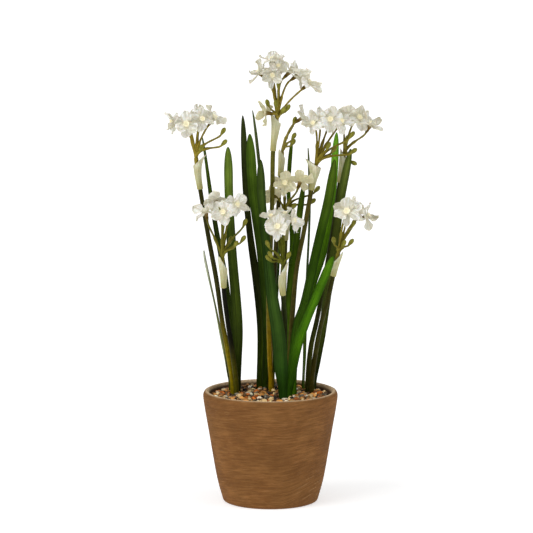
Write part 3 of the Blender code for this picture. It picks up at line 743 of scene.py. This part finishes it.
def ridge_crests(angle, stroke, heights):
    """Where the brush has left broken ridges, low on the right side of the pot."""
    right = smooth(np.sin(angle), 0.2, 0.7) * smooth(np.cos(angle), -0.2, 0.4)
    breaks = smooth(np.sin(9 * angle + stroke * 0.8), -0.2, 0.6)
    crests = smooth(np.sin(stroke * 1.05 + 1.4 * np.sin(3 * angle)), 0.84, 1.0)
    return crests * right * (1 - smooth(heights, 25, 60)) * breaks


def make_pot():
    """The turned pot, brushed outside between its foot and its lip."""
    outside = lathe_profile(POT_OUTSIDE, 150)
    lip = lathe_profile([POT_OUTSIDE[-1], *POT_LIP], 12)[1:]
    inside = lathe_profile([POT_LIP[-1], *POT_INSIDE[:1]], 8)[1:]
    floor = np.array([(radius, 0.0, height) for radius, height in POT_INSIDE[1:]])
    profile = np.concatenate([outside, lip, inside, floor])
    radii, heights = profile[:, 0][:, None], profile[:, 2][:, None]
    angle = np.arange(POT_SIDES)[None, :] * math.tau / POT_SIDES
    stroke = heights - brush_lean(angle, heights)
    skin = smooth(heights, *BRUSH_STARTS) * (1 - smooth(heights, *BRUSH_ENDS))
    skin[len(outside):] = 0
    crest = ridge_crests(angle, stroke, heights) * skin
    radii = radii + BRUSH_DEPTH * brush_height(angle, stroke) * skin + RIDGE_HEIGHT * crest
    points = np.stack([radii * np.sin(angle), -radii * np.cos(angle), heights + 0 * angle], axis=-1)
    worn = np.zeros(len(profile))
    worn[len(outside) - 1:len(outside) + len(lip)] = [0.15, 0.35, 0.7, *[1.0] * (len(lip) - 4), 0.8, 0.4]
    inner = np.zeros(len(profile))
    inner[len(outside) + len(lip) - 2:] = 1.0
    shape = rings_shape(points, {"lip": worn, "inside": inner})
    shape[2].update({"stroke": stroke.reshape(-1), "ridge": 0.75 * crest.reshape(-1)})
    add_piece("clay_pot", [shape], pot_finish(), "pot")


def ball_mesh(levels):
    """Points and triangles of a round ball, cut finer at each level."""
    golden = (1 + math.sqrt(5)) / 2
    points = [unit(corner) for a, b in ((1, golden), (-1, golden), (1, -golden), (-1, -golden))
              for corner in ((0, a, b), (a, b, 0), (b, 0, a))]
    gap = min(math.dist(points[0], other) for other in points[1:]) * 1.01
    near = [[math.dist(here, there) < gap for there in points] for here in points]
    faces = [(i, j, k) for i in range(12) for j in range(i) for k in range(j)
             if near[i][j] and near[j][k] and near[i][k]]
    faces = [(i, j, k) if np.dot(points[i], np.cross(points[j], points[k])) > 0 else (k, j, i)
             for i, j, k in faces]
    for _ in range(levels):
        middles, finer = {}, []
        for a, b, c in faces:
            corners = []
            for pair in ((a, b), (b, c), (c, a)):
                key = tuple(sorted(pair))
                if key not in middles:
                    middles[key] = len(points)
                    points.append(unit(points[pair[0]] + points[pair[1]]))
                corners.append(middles[key])
            ab, bc, ca = corners
            finer += [(a, ab, ca), (b, bc, ab), (c, ca, bc), (ab, bc, ca)]
        faces = finer
    return np.array(points), faces


def turned(rng):
    """A random turn as three square directions."""
    first = unit([rng.gauss(0, 1) for _ in range(3)])
    second = unit(np.cross(first, [rng.gauss(0, 1) for _ in range(3)]))
    return np.array([first, second, np.cross(first, second)])


def pebble(rng, ball, middle, size):
    """One worn stone: a flattened ball with a few soft dents."""
    round_points, faces = ball
    points = round_points.copy()
    for _ in range(4):
        way = unit([rng.gauss(0, 1) for _ in range(3)])
        points *= (1 + 0.16 * np.sin(2.8 * points @ way + rng.uniform(0, 6)))[:, None]
    points = points @ turned(rng) * (size, size * rng.uniform(0.65, 0.95), size * rng.uniform(0.55, 0.8))
    tilt = math.radians(rng.uniform(-25, 25))
    spin = rng.uniform(0, math.tau)
    lean = np.array([[1, 0, 0], [0, math.cos(tilt), -math.sin(tilt)], [0, math.sin(tilt), math.cos(tilt)]])
    turn = np.array([[math.cos(spin), -math.sin(spin), 0], [math.sin(spin), math.cos(spin), 0], [0, 0, 1]])
    points = points @ lean.T @ turn.T + np.array(middle)
    colours, shares = zip(*PEBBLES)
    colour = paint(*rng.choices(colours, shares)[0])
    shade = PEBBLE_DARKEST + PEBBLE_LIGHTER * rng.random()
    stone = [*(min(part * shade, 1.0) for part in colour[:3]), 1.0]
    return points, faces, {"stone": np.tile(stone, (len(points), 1))}


def foot_width(widths):
    """Width of a leaf where it stands in the gravel."""
    return min(widths[0] * FOOT_SHARE, FOOT_WIDTH_LIMIT)


def feet():
    """Where leaves and stems leave the gravel, with the room that each takes."""
    taken = [(leaf[0], foot_width(leaf[1]) / 2) for leaf in LEAVES.values()]
    return taken + [(head["foot"], STEM_FOOT_RADIUS) for head in HEADS.values()]


def make_gravel():
    """Layers of pebbles, scattered at random but never closer than their layer allows, on a bed painted near
    black as the shade in the gaps between them.
    """
    rng = random.Random(11)
    taken = feet()
    shapes = []
    for drop, nearness, level in PEBBLE_LAYERS:
        ball = ball_mesh(level)
        spots = []
        for _ in range(PEBBLE_TRIES):
            reach, turn = GRAVEL_RADIUS * math.sqrt(rng.random()), rng.uniform(0, math.tau)
            spot = (reach * math.cos(turn), reach * math.sin(turn))
            size = rng.uniform(*PEBBLE_SIZES)
            if reach + size * 0.9 > GRAVEL_RADIUS:
                continue
            if any(math.dist(spot, foot) < room + size * 0.8 for foot, room in taken):
                continue
            if any(math.dist(spot, other) < (size + room) * nearness for other, room in spots):
                continue
            spots.append((spot, size))
            top = PEBBLE_TOP + rng.uniform(-PEBBLE_UNEVENNESS, PEBBLE_UNEVENNESS) - drop
            shapes.append(pebble(rng, ball, (*spot, top - size * 0.6), size))
    turns = np.linspace(0, math.tau, 96, False)
    bed = rings_shape([
        [(radius * math.cos(turn), radius * math.sin(turn), height) for turn in turns]
        for radius, height in BED_PROFILE], {})
    # Painted shade: the bed is near black, to darken the gaps between the pebbles.
    bed[2]["stone"] = np.tile(paint(30, 20, 12), (len(bed[0]), 1))
    add_piece("pebbles", shapes + [bed], pebble_finish(), "gravel", 60)


def leaf_width(share, widths):
    """Width along a leaf: from the low to the high width, then in to a blunt tip at share 1."""
    low, high = widths
    full = low + (high - low) * smooth(share, 0.25, 0.7)
    beyond = np.maximum(share - TIP_START, 0.0) / (1 - TIP_START)
    return full * np.sqrt(np.clip(1 - beyond**2, 0.0, 1.0))


def strap_leaf(leaf, number):
    """A channelled blade on the leaf's line, thick and straight where it stands in the gravel."""
    foot, widths, (facing_foot, facing_tip), route, _ = leaf
    line = grown_line(foot, route)
    tip_shares = TIP_START + 0.1195 * np.sin(np.linspace(0, math.pi / 2, 16))[1:]
    shares = np.concatenate([np.linspace(0, TIP_START, 60), tip_shares])
    places = along(line, shares * length_of(line))
    ahead = directions(places)
    ahead[0] = (0, 0, 1)
    phase = random.Random(100 + number).uniform(0, 6)
    across = np.linspace(-1, 1, LEAF_COLUMNS)
    narrow = foot_width(widths)
    front, back = [], []
    stations = [(np.array([*foot, HOLE_FLOOR]), np.array([0, 0, 1.0]), 0.0)]
    stations += [(place, direction, share) for place, direction, share in zip(places, ahead, shares)]
    for place, direction, share in stations:
        face = compass(facing_foot + (facing_tip - facing_foot) * share)
        face = unit(face - direction * np.dot(face, direction))
        side = np.cross(direction, face)
        opened = smooth(share, 0.0, 0.14)
        width = narrow + (leaf_width(share, widths) - narrow) * opened
        width *= 1 + 0.025 * math.sin(17 * share + phase) * opened
        channel = LEAF_CHANNEL * opened * width / max(widths)
        middle = FOOT_THICKNESS + (LEAF_THICKNESS - FOOT_THICKNESS) * opened
        edge = FOOT_EDGE + (LEAF_EDGE - FOOT_EDGE) * opened
        bend = channel * np.abs(across) ** 1.35 + 0.35 * math.sin(11 * share + phase) * across * opened
        thick = edge + (middle - edge) * (1 - across**2)
        bend += LEAF_RIB * opened * np.cos(7 * math.pi * across) * (1 - across**2)
        row = place + np.outer(across * width / 2, side)
        front.append(row + np.outer(bend + thick / 2, face))
        back.append(row + np.outer(bend - thick / 2, face))
    rise, across = np.meshgrid([0.0, *shares], across, indexing="ij")
    values = {"along": rise, "across": across, "item": np.full_like(rise, number)}
    return blade_shape(np.array(front), np.array(back), values)


def make_leaves():
    """Every strap leaf, each with greens of its own."""
    for number, (name, leaf) in enumerate(LEAVES.items()):
        finish = leaf_finish("leaf_" + name + "_wax", leaf[-1])
        add_piece("strap_leaf_" + name, [strap_leaf(leaf, number)], finish, "leaf_" + name)


def stem_line(head):
    """Dense line of a flower stem from the hole's floor to the place where its stalks part."""
    line = grown_line(head["foot"], head["route"])
    places = along(line, np.linspace(0, length_of(line), STEM_RINGS))
    return np.concatenate([[(*head["foot"], HOLE_FLOOR)], places])


def stalk_shape(line, radii, number, values):
    """Round stalk along a line, with other values at each of its points."""
    values = {"along": np.linspace(0.4, 1, len(line)), "stalk": np.ones(len(line)), **values}
    return sleeve_shape(tube_rings(line, radii, STALK_SIDES), number, values)


def stalk_line(hub, up, foot, way, lift, count):
    """Line from inside the stem's top to the foot of a flower or bud, arriving its way."""
    reach = np.linalg.norm(foot - hub)
    lifted = hub + up * (lift[0] + reach * lift[1])
    return bent(hub - up * HUB_DEPTH, lifted, foot - way * reach * 0.2, foot, count)


def stalk_radii(shares, number):
    """Radius along a stalk: a thick sleeve that ends in a joint, then a thin neck."""
    joint = 0.42 + 0.1 * math.sin(2.1 * number)
    neck = STALK_RADIUS + (STALK_SLEEVE - STALK_RADIUS) * (1 - smooth(shares, joint, joint + 0.08))
    return neck + 0.22 * np.exp(-((shares - joint) / 0.05) ** 2) + 0.08 * np.sin(23 * shares + number)


def stalk(hub, up, floret, number):
    """Flower stalk from the hub to the back of a floret, widening into a brown calyx."""
    middle, side, rise, size = floret
    facing = compass(side, rise)
    ovary_top = np.array(middle) - facing * (TUBE_LENGTH * size - 0.6)
    ovary_foot = np.array(middle) - facing * (TUBE_LENGTH * size + 0.3 + OVARY_LENGTH)
    line = stalk_line(hub, up, ovary_foot, facing, STALK_LIFT, 26)
    thin = stalk_radii(np.linspace(0, 1, 26), number)
    swell = np.linspace(0, 1, 9)[1:]
    line = np.concatenate([line, ovary_foot + np.outer(swell, ovary_top - ovary_foot)])
    wide = thin[-1] + (OVARY_RADIUS - thin[-1]) * smooth(swell, 0.0, 0.8)
    knob = np.concatenate([np.zeros(20), np.linspace(0, 0.5, 6), np.linspace(0.6, 1, 8)])
    return stalk_shape(line, np.concatenate([thin, wide]), number, {"knob": knob})


def bud(hub, up, middle, number):
    """Closed bud on its stalk: a club, fullest past its middle, with a blunt end."""
    middle = np.array(middle, float)
    lean = unit(unit(middle - hub) + up * 0.4)
    foot = middle - lean * BUD_LENGTH / 2
    line = stalk_line(hub, up, foot, lean, BUD_LIFT, 20)
    share = np.linspace(0, 1, 15)[1:]
    line = np.concatenate([line, foot + np.outer(share, lean * BUD_LENGTH)])
    thin = stalk_radii(np.linspace(0, 1, 20), number)
    blunt = np.sqrt(np.clip(1 - (np.maximum(share - 0.62, 0) / 0.385) ** 2, 0, 1))
    swell = thin[-1] * (1 - share) + (BUD_RADIUS - 0.2 * (1 - share)) * smooth(share, -0.15, 0.62) * blunt
    swell[-1] = 0.3
    ripe = np.concatenate([np.linspace(0, 0.4, 20), smooth(share, -0.4, 0.35)])
    return stalk_shape(line, np.concatenate([thin, swell]), number, {"bud": ripe})


def florets_of(head):
    """All the florets that a stem carries, the one that stands apart last."""
    return head["florets"] + ([head["low_floret"]] if "low_floret" in head else [])


def make_stem(place, head, number):
    """A flower stem, with stalks and buds parting from its top, which is called the hub."""
    line = stem_line(head)
    hub, up = line[-1], unit(line[-1] - line[-4])
    shares = np.linspace(0, 1, len(line))
    uneven = 1 + 0.03 * np.sin(np.linspace(0, 14, len(line)) + number)
    radii = np.linspace(STEM_FOOT_RADIUS, STEM_TOP_RADIUS, len(line)) * uneven
    values = {"along": shares, "stalk": smooth(shares, 0.94, 0.99)}
    shapes = [sleeve_shape(tube_rings(line, radii, STEM_SIDES), number, values)]
    shapes += [stalk(hub, up, floret, number + i) for i, floret in enumerate(florets_of(head))]
    shapes += [bud(hub, up, middle, number + i) for i, middle in enumerate(head["buds"])]
    finish = stem_finish("stem_" + place + "_olive", head["tints"])
    add_piece("flower_stem_" + place, shapes, finish, "stem_" + place)


def make_sheath(place, head, number, finish):
    """Papery sleeve round the top of the stem, its slanted mouth drawn up to a tip on one side."""
    length, side, rise, drop, mouth, lean = head["sheath"]
    line = grown_line(head["foot"], head["route"])
    whole = length_of(line)
    share = np.linspace(0, 1, SHEATH_STATIONS)
    distances = whole - length * (1 - share)
    centres = along(line, distances)
    stem_radii = np.interp(distances, [0, whole], [STEM_FOOT_RADIUS, STEM_TOP_RADIUS])
    widening = mouth - STEM_TOP_RADIUS - SHEATH_ROOM
    inner_radii = stem_radii + SHEATH_ROOM + widening * smooth(share, 0.1, 1.0)
    core = tube_rings(centres, inner_radii, SHEATH_SIDES)
    tip, up = compass(side), directions(centres)[-1]
    phase = random.Random(300 + number).uniform(0, 6)
    inner, outer = [], []
    for ring, centre, radius, at in zip(core, centres, inner_radii, share):
        way = (ring - centre) / radius
        level = way * (1, 1, 0)
        level /= np.linalg.norm(level, axis=1, keepdims=True)
        reach = ((1 + level @ tip) / 2)[:, None]
        turn = np.arctan2(level[:, 1], level[:, 0])[:, None]
        crumple = 0.25 * at * np.sin(5 * turn + phase) + 0.2 * at * np.sin(9 * turn + 2 * phase + 6 * at)
        lift = up * ((rise + drop) * reach**1.5 - drop) * at
        flare = way * crumple + tip * lean * reach**2 * at**4
        inner.append(ring + lift + flare)
        outer.append(ring + way * SHEATH_WALL + lift + flare)
    values = {"along": np.concatenate([share, share[::-1]])}
    shape = sleeve_shape(outer + inner[::-1], number, values, joined=True)
    add_piece("sheath_" + place + "_paper", [shape], finish, "sheath_" + place)


def tepal_half_width(shares, broad, foot, pointed):
    """Half width along a tepal, rounded or drawn out to a point at its tip."""
    near = foot + (broad - foot) * np.sin(np.clip(shares / WIDEST, 0, 1) * math.pi / 2)
    beyond = np.maximum(shares - WIDEST, 0) / 0.425
    far = broad * np.clip(1 - beyond**2, 0, 1) ** (0.9 if pointed else 0.5)
    return np.where(shares < WIDEST, near, far)


def tepal(rng, number, radius, turn, lower):
    """One silky tepal, bent, cupped and twisted a little, with a creased middle and a waved edge."""
    tip_shares = 0.6 + 0.4 * np.sin(np.linspace(0, math.pi / 2, 9))[1:]
    shares = np.concatenate([np.linspace(0, 0.6, 9), tip_shares])
    pointed = rng.random() < POINTED_TEPALS
    length = radius * rng.uniform(0.92, 1.06) * (1.06 if pointed else 1.0)
    broad = radius * (rng.uniform(0.26, 0.33) if pointed else rng.uniform(0.4, 0.5))
    half = tepal_half_width(shares, broad, TEPAL_FOOT * radius, pointed)
    half *= 1 + 0.05 * np.sin(rng.uniform(12, 20) * shares + rng.uniform(0, 6))
    start = rng.uniform(-14, 10) if lower else rng.uniform(4, 34)
    end = start + (rng.uniform(-50, 34) if lower else rng.uniform(-40, 56))
    slope = np.radians(start + (end - start) * shares**1.5)
    step = np.diff(shares, prepend=0.0) * length
    reach = 0.06 * radius + np.cumsum(step * np.cos(slope))
    climb = (-1.2 if lower else -0.3) + np.cumsum(step * np.sin(slope))
    cup, waves, phase = rng.uniform(-1.6, 4.4), rng.uniform(1.8, 3.8), rng.uniform(0, 6)
    # The last draw is how much painted shade the finish lays over the whole tepal.
    ruffle, twist, tone = rng.uniform(0.9, 2.1), math.radians(rng.uniform(-42, 42)), rng.random()
    far, across = np.meshgrid(shares, np.linspace(-1, 1, 15), indexing="ij")
    sideways = across * half[:, None]
    height = cup * across**2 * far - 0.4 * np.exp(-((across / 0.16) ** 2)) * far
    height += sideways * np.sin(twist * far)
    height += ruffle * far * np.abs(across) ** 1.4 * np.sin(waves * math.pi * far + phase + 1.8 * across)
    height += 0.3 * far * np.sin(3.1 * math.pi * across + phase)
    height += 0.26 * far * np.sin(9 * across + 8 * far + 2 * phase)
    ragged = 0.5 * ruffle * far**3 * np.sin(5 * across + phase)
    x = (reach[:, None] + ragged) - height * np.sin(slope)[:, None]
    z = climb[:, None] + height * np.cos(slope)[:, None]
    cosine, sine = math.cos(math.radians(turn)), math.sin(math.radians(turn))
    placed = np.stack([x * cosine - sideways * sine, x * sine + sideways * cosine, z], -1)
    thin = np.array([0, 0, TEPAL_THICKNESS / 2])
    values = {
        "along": far, "across": sideways / broad,
        "item": np.full_like(far, number + turn / 60.0), "tone": np.full_like(far, tone)}
    return blade_shape(placed + thin, placed - thin, values)


def cup_and_tube(rng, number, size):
    """The small frilled cup with its anthers, and the brown calyx behind, in the floret's own axes.

    Profile rows are radius, height, share of the frill, of the calyx's brown and of the cup's cream.
    """
    turn = np.arange(CUP_SIDES) * math.tau / CUP_SIDES
    cup, tall, calyx, tube = (part * size for part in (CUP_RADIUS, CUP_HEIGHT, CALYX_RADIUS, TUBE_LENGTH))
    profile = [
        (OVARY_RADIUS - 0.1, -tube, 0, 1.0, 0), (calyx * 0.84, -tube * 0.62, 0, 1.0, 0),
        (calyx * 0.96, -2.7, 0, 0.9, 0), (calyx, -1.5, 0, 0.55, 0), (cup * 0.72, 0.1, 0, 0, 0.3),
        (cup * 0.84, tall * 0.5, 0.4, 0, 0.3), (cup * 0.98, tall * 0.92, 1, 0, 0.35),
        (cup * 0.98 - 0.3, tall, 1, 0, 0.5), (cup * 0.78, tall * 0.7, 0.6, 0, 0.8),
        (cup * 0.5, 0.9, 0, 0, 1), (0.4, 0.6, 0, 0, 1)]
    frill = 0.09 * np.sin(6 * turn + rng.uniform(0, 6)) + 0.05 * np.sin(11 * turn)
    rings = []
    for radius, height, frilled, _, _ in profile:
        wave = frill * frilled
        wavy = radius * (1 + wave)
        rings.append(np.stack([wavy * np.cos(turn), wavy * np.sin(turn), height + 3.5 * wave], -1))
    _, _, _, browns, creams = zip(*profile)
    shapes = [rings_shape(rings, {
        "along": np.linspace(0, 0.3, len(profile)), "calyx": browns, "cup": creams,
        "item": np.full(len(profile), float(number))})]
    ball, faces = ball_mesh(1)
    for anther in range(5):
        way = anther * math.tau / 5 + rng.uniform(0, 1)
        spot = (1.1 * size * math.cos(way), 1.1 * size * math.sin(way), tall * 0.7 + rng.uniform(-0.4, 0.4))
        shapes.append((ball * ANTHER_SIZE + spot, faces, {"anther": np.ones(len(ball))}))
    return shapes


def floret(place, number):
    """One floret: six tepals in two layers round a small frilled cup, on its tube."""
    middle, facing_side, rise, size = place
    rng = random.Random(500 + number)
    shapes = []
    for step in range(6):
        turn = step * 60 + rng.uniform(-8, 8)
        shapes.append(tepal(rng, number, FLORET_RADIUS * size, turn, step % 2 == 1))
    shapes += cup_and_tube(rng, number, size)
    facing = compass(facing_side, rise)
    side = unit(np.cross((0.0, 0.0, 1.0), facing))
    axes = np.array([np.cross(facing, side), -side, facing])
    return [(points @ axes + np.array(middle), faces, values) for points, faces, values in shapes]


def make_heads():
    """Stems, sheaths and florets. The sheltered florets are tinted beige with painted shade over the silk.
    """
    paper = sheath_finish()
    silk = floret_finish("floret_silky_white", 0.0)
    # The sheltered florets' silk carries a beige tint of painted shade.
    shaded_silk = floret_finish("floret_silky_painted_shade", 0.6)
    for number, (place, head) in enumerate(HEADS.items()):
        make_stem(place, head, 10 * number)
        make_sheath(place, head, number, paper)
        shapes = [shape for i, item in enumerate(head["florets"]) for shape in floret(item, 20 * number + i)]
        finish = shaded_silk if place == "middle" else silk
        add_piece("petals_" + place, shapes, finish, "florets_" + place)
        if "low_floret" in head:
            shapes = floret(head["low_floret"], 20 * number + 15)
            add_piece("petals_low_" + place, shapes, shaded_silk, "floret_low_" + place)


# Studio

# Suns as (side, rise, strength, softness), with the angles in degrees
SUNS = {"key_left": (-58, 32, 1.7, 50), "fill_right": (76, 25, 0.9, 40), "top": (10, 78, 1.0, 90)}
AIR_STRENGTH = 0.22
FLOOR_REACH = 30.0
FLOOR_GLOW = 0.53
CAMERA_PLACE = (0.0, -3.4, 0.739)
CAMERA_TILT_DOWN = 7.95
FOCAL_PIXELS = 3092.0
IMAGE_PIXELS = 533.0
PHOTO_MIDDLE_X = 270.4
SENSOR = 36.0


def make_camera():
    """The photograph's view, shifted so that X = 0 shows where it does there."""
    lens = bpy.data.cameras.new("photo_view")
    lens.sensor_width = SENSOR
    lens.lens = FOCAL_PIXELS / IMAGE_PIXELS * SENSOR
    lens.shift_x = -(PHOTO_MIDDLE_X - IMAGE_PIXELS / 2) / IMAGE_PIXELS
    camera = place_object("photo_view", lens)
    camera.location = CAMERA_PLACE
    camera.rotation_euler = (math.radians(90 - CAMERA_TILT_DOWN), 0, 0)
    bpy.context.scene.camera = camera


def make_floor():
    """A wide pale floor, glowing just enough to melt into the white around it."""
    far = FLOOR_REACH
    corners = [(-far, -far, 0), (far, -far, 0), (far, far, 0), (-far, far, 0)]
    mesh = bpy.data.meshes.new("studio_floor")
    mesh.from_pydata(corners, [], [(0, 1, 2, 3)])
    material, _, _ = start_finish(
        "floor_pale", Base_Color=(0.7, 0.7, 0.7, 1), Roughness=0.9, Specular_IOR_Level=0.0,
        Emission_Color=(1, 1, 1, 1), Emission_Strength=FLOOR_GLOW)
    mesh.materials.append(material)
    place_object("studio_floor", mesh)


def make_sun(name, side, rise, strength, softness):
    """Even light from one side and height, as soft as a lamp that many degrees across."""
    light = bpy.data.lights.new(name, "SUN")
    light.energy = strength
    light.angle = math.radians(softness)
    place_object(name, light).rotation_euler = (math.radians(90 - rise), 0, math.radians(side))


def make_studio():
    """White air, soft suns, the floor and the camera."""
    world = bpy.data.worlds.new("studio_air")
    world.use_nodes = True
    air = world.node_tree.nodes["Background"].inputs
    air["Color"].default_value = (1, 1, 1, 1)
    air["Strength"].default_value = AIR_STRENGTH
    bpy.context.scene.world = world
    bpy.context.scene.view_settings.view_transform = "Standard"
    for name, sun in SUNS.items():
        make_sun(name, *sun)
    make_floor()
    make_camera()


make_pot()
make_gravel()
make_leaves()
make_heads()
make_studio()
